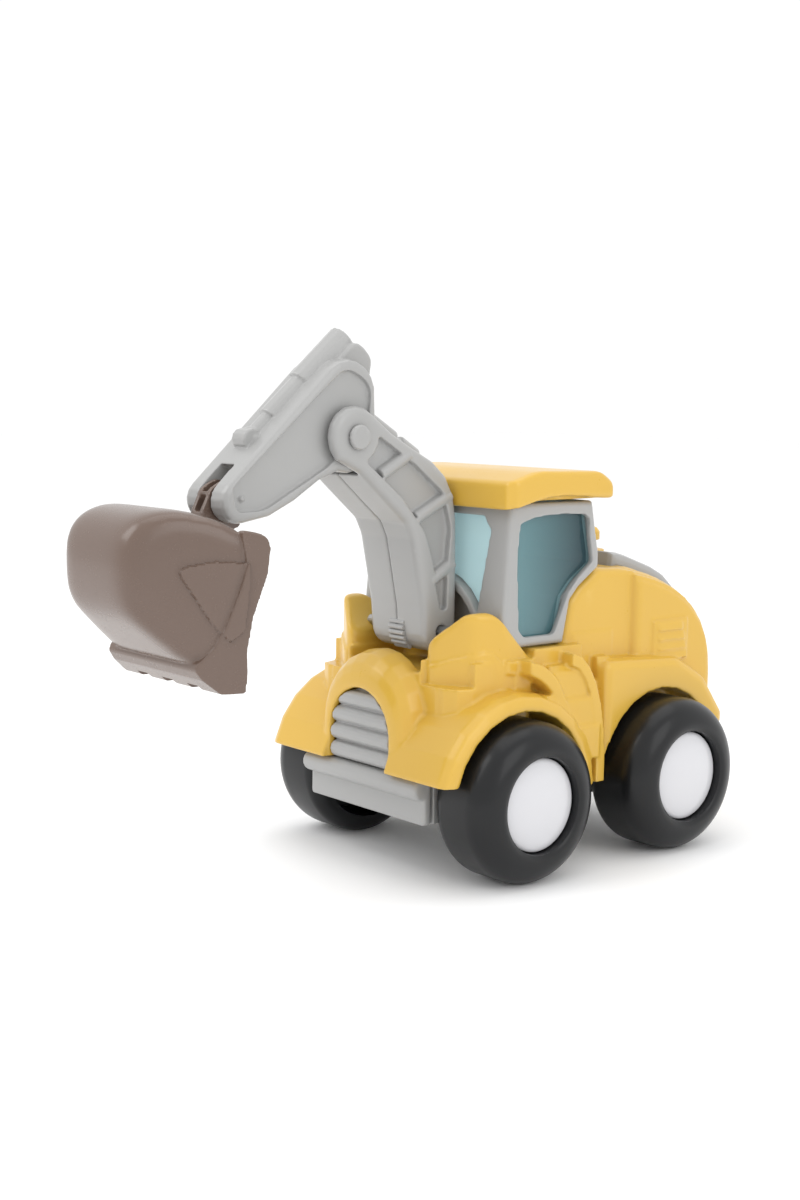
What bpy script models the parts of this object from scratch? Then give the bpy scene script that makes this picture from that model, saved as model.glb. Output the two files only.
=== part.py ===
"""Push-along toy digger truck: four big wheels, a snap-together body and a jointed front arm.

Blender script in metres, +Z up. The truck faces -Y, its left side is +X and the ground is Z = 0.
Lengths below are millimetres in the truck's own frame, whose Y = 0 is midway between the axles;
the empty "truck" then sets that frame so that the origin lies under the middle of the whole toy.
"""

import math

import bmesh
import bpy
from mathutils import Matrix, Vector

MM = 0.001

# ---- driving dimensions (mm) ----
FRAME_SHIFT_Y = 34.4
WHEEL_RADIUS = 20.0
HALF_WHEELBASE = 26.8
AXLE_RADIUS = 1.5
AXLE_RUNNING_GAP = 0.08
AXLE_HALF_LENGTH = 37.0
TYRE_INNER_X = 23.7
TYRE_OUTER_X = 42.4
HUB_CAP_RADIUS = 11.5
WELL_RADIUS = 22.0
WELL_INNER_X = 22.7
GAP = 0.3

CHASSIS_HALF_WIDTH = 22.5
CHASSIS_BOTTOM = 14.3
CHASSIS_TOP = 25.6
SKIRT_BOTTOM = 20.5
SHELL_BOTTOM = 26.0

NOSE_FRONT = -50.5
NOSE_HALF_WIDTH = 17.0
GRILLE_HALF_WIDTH = 11.6
GRILLE_ARCH_Z = 33.7
CHEEK_INNER_X = 13.5
CHEEK_OUTER_X = 27.5
CHEEK_NOTCH_GAP = 0.4
DECK_TOP = 55.7
DECK_HALF_WIDTH = 28.7
FENDER_OUTER_X = 35.0
REAR_FENDER_OUTER_X = 31.6
COVER_HALF_WIDTH = 19.0
COVER_HEIGHT = 3.6
EXHAUST_PLACE = (0.0, 30.0)
EXHAUST_BASE = 74.9
EXHAUST_FLANGE_RADIUS = 4.6

CAB_HALF_WIDTH = 27.0
CAB_WALL = 1.7
CAB_BOTTOM = 56.0
CAB_TOP = 91.7
ROOF_HALF_WIDTH = 30.0

BOOM_PIVOT = (-33.0, 59.2)
BOOM_HALF_WIDTH = 11.0
BOOM_WALL = 2.2
STICK_PIVOT = (-60.2, 107.4)
STICK_HALF_WIDTH = 8.0
FORK_INNER_X = 8.35
BUCKET_PIVOT = (-91.2, 92.9)
BUCKET_MOUTH_HALF_WIDTH = 23.4
BUCKET_BACK_HALF_WIDTH = 14.5
BUCKET_WALL = 1.8
PIN_RADIUS = 1.5


# ---- outlines ----
def arc(centre, radius, start, end, steps):
    """Points from start to end degrees about centre, both ends included."""
    return [
        (
            centre[0] + radius * math.cos(math.radians(start + (end - start) * i / steps)),
            centre[1] + radius * math.sin(math.radians(start + (end - start) * i / steps)),
        )
        for i in range(steps + 1)
    ]


def fillet(corners, steps=3):
    """A closed outline through (u, v, radius) corners, each one rounded."""
    outline = []
    for i, (u, v, radius) in enumerate(corners):
        here = Vector((u, v))
        if radius <= 0:
            outline.append((u, v))
            continue
        before = (Vector(corners[i - 1][:2]) - here).normalized()
        after = (Vector(corners[(i + 1) % len(corners)][:2]) - here).normalized()
        half = before.angle(after) / 2
        centre = here + (before + after).normalized() * radius / math.sin(half)
        first = here + before * radius / math.tan(half) - centre
        last = here + after * radius / math.tan(half) - centre
        sweep = first.angle_signed(last)
        for k in range(steps + 1):
            turned_arm = Matrix.Rotation(-sweep * k / steps, 2) @ first
            outline.append(tuple(centre + turned_arm))
    return outline


def offset(line, distance, closed=False):
    """A line moved sideways, to the left of its direction where distance is positive."""
    moved = []
    last = len(line) - 1
    for i, point in enumerate(line):
        here = Vector(point)
        ahead = Vector(line[(i + 1) % len(line) if closed else min(i + 1, last)]) - here
        behind = here - Vector(line[i - 1 if closed else max(i - 1, 0)])
        ways = [way.normalized() for way in (behind, ahead) if way.length > 0]
        normal = sum((Vector((-way.y, way.x)) for way in ways), Vector((0, 0))).normalized()
        stretch = normal.dot(Vector((-ways[0].y, ways[0].x)))
        moved.append(tuple(here + normal * distance / stretch))
    return moved


def lengthened(line, extra):
    """An open line whose two ends are drawn out along their own directions."""
    first = Vector(line[0]) + (Vector(line[0]) - Vector(line[1])).normalized() * extra
    last = Vector(line[-1]) + (Vector(line[-1]) - Vector(line[-2])).normalized() * extra
    return [tuple(first), *line[1:-1], tuple(last)]


# ---- solids ----
def solid(name, mesh_data):
    """An object made from a bmesh, still in millimetres: place() scales it at the end."""
    bmesh.ops.remove_doubles(mesh_data, verts=mesh_data.verts, dist=1e-4)
    bmesh.ops.recalc_face_normals(mesh_data, faces=mesh_data.faces)
    mesh = bpy.data.meshes.new(name)
    mesh_data.to_mesh(mesh)
    mesh_data.free()
    made = bpy.data.objects.new(name, mesh)
    bpy.context.scene.collection.objects.link(made)
    return made


def skin(rings):
    """A closed skin over rings of equally many points."""
    made = bmesh.new()
    loops = [[made.verts.new(point) for point in ring] for ring in rings]
    count = len(loops[0])
    for low, high in zip(loops, loops[1:]):
        for i in range(count):
            j = (i + 1) % count
            made.faces.new((low[i], low[j], high[j], high[i]))
    made.faces.new(loops[0][::-1])
    made.faces.new(loops[-1])
    return made


def loft(name, rings):
    return solid(name, skin(rings))


def along(axis, u, v, w):
    return {"X": (w, u, v), "Y": (u, w, v), "Z": (u, v, w)}[axis]


def prism(name, outline, low, high, axis="X", round_low=0.0, round_high=0.0, steps=2):
    """The outline swept along an axis. Its two rims can be rounded."""
    made = skin([[along(axis, u, v, level) for u, v in outline] for level in (low, high)])
    index = "XYZ".index(axis)
    for level, rounding in ((low, round_low), (high, round_high)):
        if rounding <= 0:
            continue
        made.normal_update()
        rim = [
            edge for edge in made.edges
            if all(abs(vert.co[index] - level) < 1e-6 for vert in edge.verts)
        ]
        bmesh.ops.bevel(made, geom=rim, offset=rounding, segments=steps, profile=0.5,
                        affect="EDGES", clamp_overlap=True)
    return solid(name, made)


def block(name, x, y, z, rounding=0.0, steps=2):
    """A box between the given low and high values, with all its edges rounded."""
    made = bmesh.new()
    bmesh.ops.create_cube(made, size=1)
    for vert in made.verts:
        vert.co = [limits[0] if side < 0 else limits[1] for side, limits in zip(vert.co, (x, y, z))]
    if rounding > 0:
        bmesh.ops.bevel(made, geom=list(made.edges), offset=rounding, segments=steps, profile=0.5,
                        affect="EDGES", clamp_overlap=True)
    return solid(name, made)


def turned(name, profile, centre, segments=24, axis="X"):
    """A solid of revolution. The profile is (distance along the axis, radius) points."""
    made = bmesh.new()
    verts = [made.verts.new(along(axis, centre[0], centre[1] + r, w)) for w, r in profile]
    edges = [made.edges.new(pair) for pair in zip(verts, verts[1:])]
    if profile[0][1] > 0:
        edges.append(made.edges.new((verts[-1], verts[0])))
    bmesh.ops.spin(made, geom=verts + edges, cent=along(axis, centre[0], centre[1], 0),
                   axis=along(axis, 0, 0, 1), angle=math.tau, steps=segments, use_duplicate=False)
    return solid(name, made)


def rod(name, centre, radius, low, high, segments=16, axis="X"):
    profile = [(low, 0), (low, radius), (high, radius), (high, 0)]
    return turned(name, profile, centre, segments, axis)


def combine(target, tools, operation):
    """Joins or cuts the target with each tool and keeps the result as its own mesh."""
    for tool in tools:
        modifier = target.modifiers.new(operation.title(), "BOOLEAN")
        modifier.operation = operation
        modifier.object = tool
    bpy.context.view_layer.update()
    evaluated = target.evaluated_get(bpy.context.evaluated_depsgraph_get())
    result = bpy.data.meshes.new_from_object(evaluated)
    target.modifiers.clear()
    target.data = result
    for tool in tools:
        bpy.data.objects.remove(tool)
    return target


def fuse(target, *tools):
    return combine(target, tools, "UNION")


def cut(target, *tools):
    return combine(target, tools, "DIFFERENCE")


# ---- materials and placing ----
def material(name, colour, roughness, metallic=0.0, alpha=1.0):
    made = bpy.data.materials.new(name)
    made.use_nodes = True
    shader = made.node_tree.nodes["Principled BSDF"]
    shader.inputs["Base Color"].default_value = (*colour, 1.0)
    shader.inputs["Roughness"].default_value = roughness
    shader.inputs["Metallic"].default_value = metallic
    shader.inputs["Alpha"].default_value = alpha
    return made


def pivot(name, centre, parent):
    """An empty on a joint's axis, at (y, z) in the truck's frame."""
    made = bpy.data.objects.new(name, None)
    made.location = Vector((0, centre[0], centre[1])) * MM
    if parent:
        made.parent = parent
        made.location -= ORIGINS[parent.name]
        ORIGINS[name] = made.location + ORIGINS[parent.name]
    else:
        ORIGINS[name] = Vector((0, 0, 0))
    bpy.context.scene.collection.objects.link(made)
    return made


def place(made, holder, finish):
    """Scales a finished piece to metres and hangs it on its empty, with its own origin there."""
    made.data.transform(Matrix.Translation(-ORIGINS[holder.name]) @ Matrix.Scale(MM, 4))
    made.parent = holder
    made.data.materials.clear()
    made.data.materials.append(finish)
    made.data.shade_smooth()
    made.data.set_sharp_from_angle(angle=math.radians(35))
    return made


def between(side, near, far):
    """Low and high X of a stretch on one side of the middle plane."""
    return tuple(sorted((side * near, side * far)))


# ---- the yellow body shell ----
def nose():
    """Domed bonnet: an arch that swells from the grille's rim to its full size."""
    rings = []
    for angle in (0, 18, 38, 62, 90):
        swell = math.sin(math.radians(angle))
        y = NOSE_FRONT + 7.0 * (1 - math.cos(math.radians(angle)))
        half = GRILLE_HALF_WIDTH + 1.3 + (NOSE_HALF_WIDTH - GRILLE_HALF_WIDTH - 1.3) * swell
        arch = arc((0, GRILLE_ARCH_Z + 3.8 * swell), half, 180, 0, 12)
        rings.append([(x, y, z) for x, z in [(-half, SHELL_BOTTOM), *arch, (half, SHELL_BOTTOM)]])
    rings.append([(x, -40.5, z) for x, y, z in rings[-1]])
    return loft("nose", rings)


def front_fender(side):
    low, high = between(side, 12.0, FENDER_OUTER_X)
    outline = arc((-HALF_WHEELBASE, WHEEL_RADIUS), 26.3, 0, 345, 23)
    rounding = {"round_high": 3.0} if side > 0 else {"round_low": 3.0}
    return prism("front_fender", outline, low, high, **rounding)


def cheek(side, grow=0.0):
    """Rounded block beside the foot of the boom. The cab is notched by a slightly larger one."""
    outline = fillet([
        (-42.6 - grow, 30.0, 0), (-42.6 - grow, 64.8 + grow, 7.0), (-31.5, 64.8 + grow, 5.5),
        (-26.0 + grow, 61.6 + grow, 5.0), (-18.5 + grow, 53.0 + grow, 0), (-18.5 + grow, 30.0, 0),
    ])
    low, high = between(side, CHEEK_INNER_X - grow, CHEEK_OUTER_X + grow)
    outer_rounding = 6.0 - grow
    roundings = (1.0, outer_rounding) if side > 0 else (outer_rounding, 1.0)
    return prism("cheek", outline, low, high, round_low=roundings[0], round_high=roundings[1])


def stringer(side, centre_y, reach, rise, depth):
    """Curved board at one end of the steps: a quarter ellipse with a straight foot."""
    curve = [
        (centre_y + reach * math.cos(math.radians(a)), 26.0 + rise * math.sin(math.radians(a)))
        for a in range(0, 91, 15)
    ]
    foot = [(curve[0][0], SKIRT_BOTTOM), (curve[0][0] - depth, SKIRT_BOTTOM)]
    inner = [
        (centre_y + (reach - depth) * math.cos(math.radians(a)),
         26.0 + (rise - depth) * math.sin(math.radians(a)))
        for a in range(90, -1, -15)
    ]
    return prism("stringer", curve + inner + foot[::-1], *between(side, 27.0, 33.2))


def steps(side):
    treads = [(-14.5, 50.0, 30.8), (-10.6, 42.6, 31.6), (-8.8, 35.4, 32.4)]
    return [
        block("tread", between(side, 27.0, reach), (y, y + 11.5), (z - 6.0, z), 0.5, 1)
        for y, z, reach in treads
    ]


def rear_fender(side):
    outline = fillet([
        (4.6, 24.0, 0), (4.6, 51.4, 3.0), (33.5, 49.8, 9.0), (44.6, 43.4, 4.0),
        (52.6, 33.0, 0), (52.6, 27.0, 0), (40.0, 24.0, 0),
    ])
    low, high = between(side, 18.0, REAR_FENDER_OUTER_X)
    rounding = {"round_high": 2.5} if side > 0 else {"round_low": 2.5}
    return prism("rear_fender", outline, low, high, **rounding)


HOUSING_TOP = fillet([
    (-5.9, 54.0, 0), (-3.3, 66.4, 2.0), (-0.2, 69.6, 2.0), (7.0, 74.2, 1.5),
    (22.0, 73.4, 20.0), (39.0, 67.6, 18.0), (49.8, 56.0, 8.0), (50.9, 44.0, 0),
], 2)
COVER_TOP = [point for point in HOUSING_TOP if point[0] > 9.0][:-1]


def housing(rounding, half_width, front, rear, raised):
    """Rear bodywork: the profile between two Y values, swept across the truck."""
    top = [point for point in offset(HOUSING_TOP, raised) if front <= point[0] <= rear]
    outline = [(top[0][0], 28.0), *top, (top[-1][0], 28.0)]
    return prism("housing", outline, -half_width, half_width, round_low=rounding,
                 round_high=rounding, steps=3)


def shell_core():
    """Solids that hollow the shell out from below."""
    nose_room = [(-14.3, 20.0), *arc((0, 37.0), 14.3, 180, 0, 10), (14.3, 20.0)]
    lower_room = [(-40.5, 20.0), (-40.5, 47.8), (48.3, 47.8), (48.3, 20.0)]
    rear_room = offset([p for p in HOUSING_TOP if p[0] > 6.0], -2.6)
    cores = [
        prism("core", nose_room, -48.4, -38.3, axis="Y"),
        prism("core", lower_room, -18.2, 18.2),
        prism("core", [(9.5, 46.0), *rear_room, (48.1, 46.0)], -23.5, 23.5),
        block("core", (-26.2, 26.2), (-20.0, 12.0), (45.0, 53.4)),
        block("core", (-26.2, 26.2), (-2.6, 2.6), (18.0, 46.0)),
    ]
    for side in (-1, 1):
        cores.append(block("core", between(side, 17.6, 24.2), (-38.3, -25.0), (45.0, 60.4)))
    return cores


def body_shell():
    shell = block("body_shell", (-DECK_HALF_WIDTH, DECK_HALF_WIDTH), (-24.4, 9.0),
                  (SKIRT_BOTTOM, DECK_TOP))
    floor_under_boom = block("floor", (-20.4, 20.4), (-42.8, -22.0), (SHELL_BOTTOM - 2, 50.2))
    fuse(shell, floor_under_boom, nose())
    for side in (-1, 1):
        fuse(shell, front_fender(side), cheek(side), rear_fender(side))
        fuse(shell, stringer(side, -27.0, 18.6, 27.6, 3.2), stringer(side, -9.0, 12.6, 28.4, 3.2))
        fuse(shell, *steps(side))
    fuse(shell, housing(3.0, 26.0, -7.5, 24.0, 0.0), housing(4.0, 28.0, 17.0, 60.0, 0.2))
    below_front = block("cutter", (-50, 50), (-60, -HALF_WHEELBASE), (-10, SHELL_BOTTOM))
    below_rear = block("cutter", (-50, 50), (HALF_WHEELBASE, 70), (-10, 30.0))
    below_middle = block("cutter", (-50, 50), (-30, 30), (-10, SKIRT_BOTTOM))
    cut(shell, below_front, below_rear, below_middle)
    wells = [
        prism("well", arc((y, WHEEL_RADIUS), WELL_RADIUS, 0, 345, 23),
              *between(side, WELL_INNER_X, 50.0))
        for y in (-HALF_WHEELBASE, HALF_WHEELBASE)
        for side in (-1, 1)
    ]
    chassis_room = block("cutter", (-CHASSIS_HALF_WIDTH - GAP, CHASSIS_HALF_WIDTH + GAP),
                         (-60, 60), (0, CHASSIS_TOP + GAP))
    cut(shell, *wells, chassis_room)
    cut(shell, *shell_core())
    opening = arc((0, GRILLE_ARCH_Z), GRILLE_HALF_WIDTH, 180, 0, 12)
    opening = [(-GRILLE_HALF_WIDTH, 20.0), *opening, (GRILLE_HALF_WIDTH, 20.0)]
    cut(shell, prism("cutter", opening, -60.0, -44.0, axis="Y"))
    pin_hole = rod("cutter", BOOM_PIVOT, PIN_RADIUS + 0.1, -17.0, 17.0)
    bed = lengthened(COVER_TOP, GAP)
    slot = [*offset(bed, 6.5), *reversed(offset(bed, -1.6))]
    cover_slot = prism("cutter", slot, -COVER_HALF_WIDTH - GAP, COVER_HALF_WIDTH + GAP)
    cut(shell, pin_hole)
    return cut(shell, cover_slot)


# ---- lower pieces ----
def chassis_base():
    """Open tray with four bearing walls; the axles run through them."""
    half = CHASSIS_HALF_WIDTH
    tray = block("chassis_base", (-half, half), (-45.0, 48.5), (CHASSIS_BOTTOM, CHASSIS_TOP))
    cut(tray, block("cutter", (-half + 2.0, half - 2.0), (-43.0, 46.5), (CHASSIS_BOTTOM + 2.0, 40)))
    for y in (-HALF_WHEELBASE, HALF_WHEELBASE):
        for side in (-1, 1):
            fuse(tray, block("bearing", between(side, 13.0, half - 1.0), (y - 3.5, y + 3.5),
                             (CHASSIS_BOTTOM + 1.0, CHASSIS_TOP)))
    holes = [
        rod("cutter", (y, WHEEL_RADIUS), AXLE_RADIUS + AXLE_RUNNING_GAP, -40.0, 40.0, 24)
        for y in (-HALF_WHEELBASE, HALF_WHEELBASE)
    ]
    step = CHASSIS_BOTTOM + 1.2
    for place_xy in SCREW_PLACES:
        holes.append(turned("cutter", [(0, 0), (0, 2.6), (step, 2.6), (step, 1.3), (30, 1.3), (30, 0)],
                            place_xy, 12, "Z"))
    return cut(tray, *holes)


SCREW_PLACES = [(-12.0, -38.0), (12.0, -38.0), (-12.0, 40.0), (12.0, 40.0)]


def chassis_screw(name, x, y):
    """Self-tapping screw seated in its countersink, head down."""
    head_z = CHASSIS_BOTTOM + 0.2
    screw = turned(name, [(head_z, 0), (head_z, 2.2), (head_z + 0.7, 2.2), (head_z + 0.7, 1.1),
                          (head_z + 9.0, 1.1), (head_z + 10.0, 0)], (x, y), 12, "Z")
    slots = [
        block("cutter", (x - 1.3, x + 1.3), (y - 0.3, y + 0.3), (0, head_z + 0.35)),
        block("cutter", (x - 0.3, x + 0.3), (y - 1.3, y + 1.3), (0, head_z + 0.35)),
    ]
    return cut(screw, *slots)


def front_bumper():
    """Round bar above a plate, across the chassis's front end."""
    half = CHASSIS_HALF_WIDTH
    outline = [(-45.3, CHASSIS_BOTTOM), (-48.0, CHASSIS_BOTTOM), (-48.0, 20.6)]
    outline += arc((-48.4, 23.1), 2.7, 248, 92, 6)
    outline += [(-45.3, 25.6)]
    return prism("front_bumper", outline, -half, half, round_low=0.8, round_high=0.8)


def grille_insert():
    """Arched panel of rounded bars, set into the bonnet's opening."""
    half = GRILLE_HALF_WIDTH - GAP
    arch = arc((0, GRILLE_ARCH_Z), half, 180, 0, 12)
    bottom = SHELL_BOTTOM - 0.1
    profile = [(-46.2, bottom)]
    pitch = 4.6
    for i in range(4):
        middle = bottom + pitch * (i + 0.5)
        profile += arc((-48.3, middle), pitch / 2 - 0.1, 270, 90, 6)
    profile += [(-48.6, 50.0), (-46.2, 50.0)]
    bars = prism("grille_insert", profile, -half, half)
    window = [(-half, bottom - 1), *arch, (half, bottom - 1)]
    keep = prism("cutter", window, -60.0, -44.0, axis="Y")
    return combine(bars, [keep], "INTERSECT")


# ---- cab ----
CAB_OUTLINE = [
    (-28.0, CAB_BOTTOM), (-6.1, CAB_BOTTOM), (-3.8, 66.8), (-0.8, 69.9),
    (6.2, 74.6), (6.2, 78.2), (4.8, 84.6), (3.4, CAB_TOP), (-25.0, CAB_TOP),
]
SIDE_WINDOW = [
    (-21.5, 86.4, 1.5), (-6.0, 88.4, 0), (1.6, 87.3, 1.2), (3.7, 76.2, 1.0), (-4.2, 70.2, 3.0),
    (-9.6, 58.6, 1.5), (-20.9, 58.6, 1.8), (-22.4, 73.0, 0),
]
WINDSCREEN = [(-20.0, 84.8), (-17.0, 88.2), (17.0, 88.2), (20.0, 84.8), (16.4, 58.0), (-16.4, 58.0)]
ALCOVE_CENTRE = (0, 53.6)
ALCOVE_RADIUS = 18.0


def cab_inside(wall):
    return offset(CAB_OUTLINE, wall, closed=True)


def cab_frame():
    """Four posts and sills in one moulding, with an arched niche behind the boom."""
    frame = prism("cab_frame", CAB_OUTLINE, -CAB_HALF_WIDTH, CAB_HALF_WIDTH, round_low=1.2,
                  round_high=1.2)
    half = CAB_HALF_WIDTH - CAB_WALL
    open_below = [(y, z - 6.0 if z < CAB_BOTTOM + 3 else z) for y, z in cab_inside(CAB_WALL)]
    open_above = [(y, z + 6.0 if z > CAB_TOP - 3 else z) for y, z in open_below]
    cut(frame, prism("cutter", open_above, -half, half))
    cut(frame, prism("cutter", fillet(SIDE_WINDOW, 2), -40.0, 40.0))
    cut(frame, prism("cutter", WINDSCREEN, -40.0, -22.5, axis="Y"))
    hood = arc(ALCOVE_CENTRE, ALCOVE_RADIUS + 2.0, 172, 8, 14)
    niche = [(-ALCOVE_RADIUS, 50.0), *arc(ALCOVE_CENTRE, ALCOVE_RADIUS, 180, 0, 14),
             (ALCOVE_RADIUS, 50.0)]
    fuse(frame, prism("rim", hood, -27.3, -21.6, axis="Y"))
    cut(frame, prism("cutter", niche, -40.0, -23.4, axis="Y"))
    return cut(frame, cheek(-1, CHEEK_NOTCH_GAP), cheek(1, CHEEK_NOTCH_GAP))


def window_insert():
    """One clear moulding behind the openings: windscreen and both side panes."""
    outer_wall = CAB_WALL + GAP
    inner_wall = outer_wall + 1.0
    half_out = CAB_HALF_WIDTH - outer_wall
    half_in = CAB_HALF_WIDTH - inner_wall
    glass = prism("cab_window_insert", cab_inside(outer_wall), -half_out, half_out)
    inside = [(y + 12.0 if y > -12 else y, z) for y, z in cab_inside(inner_wall)]
    inside = [(y, z - 9.0 if z < 62 else z) for y, z in inside]
    inside = [(y, z + 9.0 if z > 86 else z) for y, z in inside]
    cut(glass, prism("cutter", inside, -half_in, half_in))
    room = [(-25.0, 50.0), *arc(ALCOVE_CENTRE, ALCOVE_RADIUS + 2.4, 180, 0, 14), (25.0, 50.0)]
    cut(glass, prism("cutter", room, -40.0, -20.9, axis="Y"))
    return cut(glass, cheek(-1, CHEEK_NOTCH_GAP), cheek(1, CHEEK_NOTCH_GAP))


def roof():
    """Thick cap with a drooping visor in front."""
    outline = fillet([
        (-28.2, 90.2, 0), (-26.2, 90.2, 0), (-25.6, 92.0, 0), (8.0, 92.3, 0), (8.0, 96.3, 2.5),
        (3.5, 99.2, 6.0), (-19.0, 99.6, 20.0), (-28.2, 96.9, 1.5),
    ])
    half = ROOF_HALF_WIDTH
    cap = prism("roof", outline, -half, half, round_low=2.2, round_high=2.2)
    visor_end = [(-28.2, 90.2), (-25.5, 90.6), (-15.0, 92.5), (-15.0, 94.0), (-28.2, 94.0)]
    for side in (-1, 1):
        fuse(cap, prism("visor", visor_end, *between(side, CAB_HALF_WIDTH + 0.4, half)))
        corner = [(side * (half + 1), -24.8), (side * (half + 1), -30.0),
                  (side * (half - 3.4), -30.0)]
        cut(cap, prism("cutter", corner, 80.0, 110.0, axis="Z"))
    return cap


def engine_cover():
    outer = offset(COVER_TOP, COVER_HEIGHT)
    inner = offset(COVER_TOP, -1.6 + GAP)
    outline = [*outer, *reversed(inner)]
    half = COVER_HALF_WIDTH
    cover = prism("engine_cover", outline, -half, half, round_low=1.8, round_high=1.8)
    seat = rod("cutter", EXHAUST_PLACE, EXHAUST_FLANGE_RADIUS + GAP, EXHAUST_BASE - GAP, 90.0, 16, "Z")
    return cut(cover, seat)


def exhaust_stub():
    """Short stack on the engine cover: flange, neck and domed cap."""
    base = EXHAUST_BASE
    flange = EXHAUST_FLANGE_RADIUS
    profile = [(base, 0), (base, flange), (base + 1.2, flange), (base + 1.6, 2.0), (base + 3.6, 2.0),
               (base + 3.8, 3.3), (base + 6.0, 3.3), (base + 7.2, 2.4), (base + 7.8, 0)]
    return turned("exhaust_stub", profile, EXHAUST_PLACE, 16, "Z")


# ---- arm ----
BOOM_OUTLINE = [
    *arc(BOOM_PIVOT, 5.3, 350, 188, 8),
    (-38.9, 65.4), (-40.4, 73.0), (-42.4, 82.6), (-44.4, 86.6), (-49.7, 91.1), (-58.6, 98.8),
    *arc(STICK_PIVOT, 7.4, 225, 46, 8),
    (-49.2, 108.4), (-42.5, 104.7), (-36.0, 101.4), (-31.8, 97.8), (-29.2, 93.0),
    (-28.1, 87.0), (-27.8, 75.0),
]
BOOM_POCKET = [
    (-35.6, 66.0), (-37.6, 78.0), (-40.6, 84.6), (-50.5, 94.0), (-50.0, 98.0),
    (-44.0, 101.5), (-36.5, 98.2), (-33.2, 93.5), (-31.4, 86.5), (-31.0, 66.0),
]


def boom_half(name, side):
    """One side of the boom, hollow towards the seam, with one ear of the fork."""
    high = BOOM_HALF_WIDTH
    seam = 0.05
    low_x, high_x = between(side, seam, high)
    rounding = {"round_high": 1.6} if side > 0 else {"round_low": 1.6}
    half = prism(name, BOOM_OUTLINE, low_x, high_x, **rounding)
    cut(half, prism("cutter", BOOM_POCKET, *between(side, -1.0, high - BOOM_WALL)))
    ear_room = arc(STICK_PIVOT, 9.3, 0, 345, 23)
    lobe_room = [(-62.0, 106.0), (-49.0, 106.5), (-49.0, 125.0), (-62.0, 125.0)]
    cut(half, prism("cutter", ear_room, *between(side, -1.0, FORK_INNER_X)),
        prism("cutter", lobe_room, *between(side, -1.0, FORK_INNER_X)))
    for pin in (BOOM_PIVOT, STICK_PIVOT):
        cut(half, rod("cutter", pin, PIN_RADIUS + 0.1, -20.0, 20.0))
    return half


def pin(name, centre, half_length, head_radius):
    """Pivot pin with a low head at each end."""
    profile = [(-half_length, 0), (-half_length, PIN_RADIUS), (half_length, PIN_RADIUS),
               (half_length, 0)]
    if head_radius:
        face = BOOM_HALF_WIDTH + GAP
        profile = [(-face - 1.2, 0), (-face - 1.2, head_radius - 0.4), (-face - 0.8, head_radius),
                   (-face, head_radius), (-face, PIN_RADIUS), (face, PIN_RADIUS),
                   (face, head_radius), (face + 0.8, head_radius),
                   (face + 1.2, head_radius - 0.4), (face + 1.2, 0)]
    return turned(name, profile, centre, 16)


STICK_SIDE = [
    *arc(BUCKET_PIVOT, 5.0, 280, 131, 7),
    *arc((-60.4, 117.4), 8.2, 131, -8, 7),
    *arc(STICK_PIVOT, 8.6, 20, -110, 6),
    (-68.8, 97.2), (-76.0, 92.6), (-83.0, 89.3),
]
STICK_SPINE = fillet([
    (-84.0, 104.6, 0), (-55.6, 130.9, 3.5), (-50.6, 126.0, 3.0), (-52.6, 114.0, 0),
    (-62.0, 108.0, 0), (-74.0, 104.0, 0),
])
STICK_SLOPE = math.radians(41.6)


def ram(name, start, length, radius, lift):
    """Round moulding that lies along the stick's top line, from a point on that line."""
    base = Matrix.Translation((0, start[0], start[1])) @ Matrix.Rotation(STICK_SLOPE, 4, "X")
    base = base @ Matrix.Translation((0, length / 2, lift))
    made = bmesh.new()
    bmesh.ops.create_cone(made, cap_ends=True, segments=12, radius1=radius, radius2=radius,
                          depth=length, matrix=base @ Matrix.Rotation(math.pi / 2, 4, "X"))
    return solid(name, made)


def stick_housing():
    """Forearm moulding, hollow from below, slotted in front for the bucket's lug."""
    housing_side = prism("stick_housing", STICK_SIDE, -STICK_HALF_WIDTH, STICK_HALF_WIDTH,
                         round_low=1.4, round_high=1.4)
    fuse(housing_side, prism("spine", STICK_SPINE, -4.4, 4.4, round_low=0.8, round_high=0.8))
    cavity = [(-83.5, 80.0), (-82.5, 100.5), (-69.5, 112.0), (-67.5, 109.0), (-68.5, 80.0)]
    cut(housing_side, prism("cutter", cavity, -5.8, 5.8))
    fuse(housing_side, ram("ram", (-84.2, 105.0), 9.5, 1.9, 1.0),
         ram("ram", (-77.6, 110.9), 13.0, 2.7, 0.9), ram("ram", (-68.6, 118.9), 16.6, 3.4, 0.9),
         rod("ram", (-84.4, 106.8), 2.5, -2.5, 2.5, 12))
    slot = arc(BUCKET_PIVOT, 8.4, 0, 345, 23)
    cut(housing_side, prism("cutter", slot, -2.8, 2.8))
    cut(housing_side, rod("cutter", BUCKET_PIVOT, PIN_RADIUS + 0.1, -6.4, 6.4),
        rod("cutter", STICK_PIVOT, PIN_RADIUS + 0.1, -20.0, 20.0))
    return housing_side


BUCKET_SIDE = fillet([
    (-94.0, 86.4, 4.0), (-101.0, 89.2, 8.0), (-112.0, 91.0, 8.0), (-122.2, 85.6, 7.0),
    (-122.4, 72.8, 7.0), (-106.8, 58.2, 2.0), (-106.0, 54.6, 2.0), (-102.4, 52.0, 1.5),
    (-97.4, 52.0, 2.0), (-97.8, 60.0, 8.0), (-92.8, 79.0, 6.0),
])


def taper(made, shrink):
    """Narrows a bucket solid from its mouth to its back."""
    for vert in made.data.vertices:
        depth = min(max((-95.0 - vert.co.y) / 27.0, 0.0), 1.0)
        width = BUCKET_MOUTH_HALF_WIDTH + (BUCKET_BACK_HALF_WIDTH - BUCKET_MOUTH_HALF_WIDTH) * depth
        vert.co.x *= (width - shrink) / BUCKET_MOUTH_HALF_WIDTH
    return made


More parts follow.
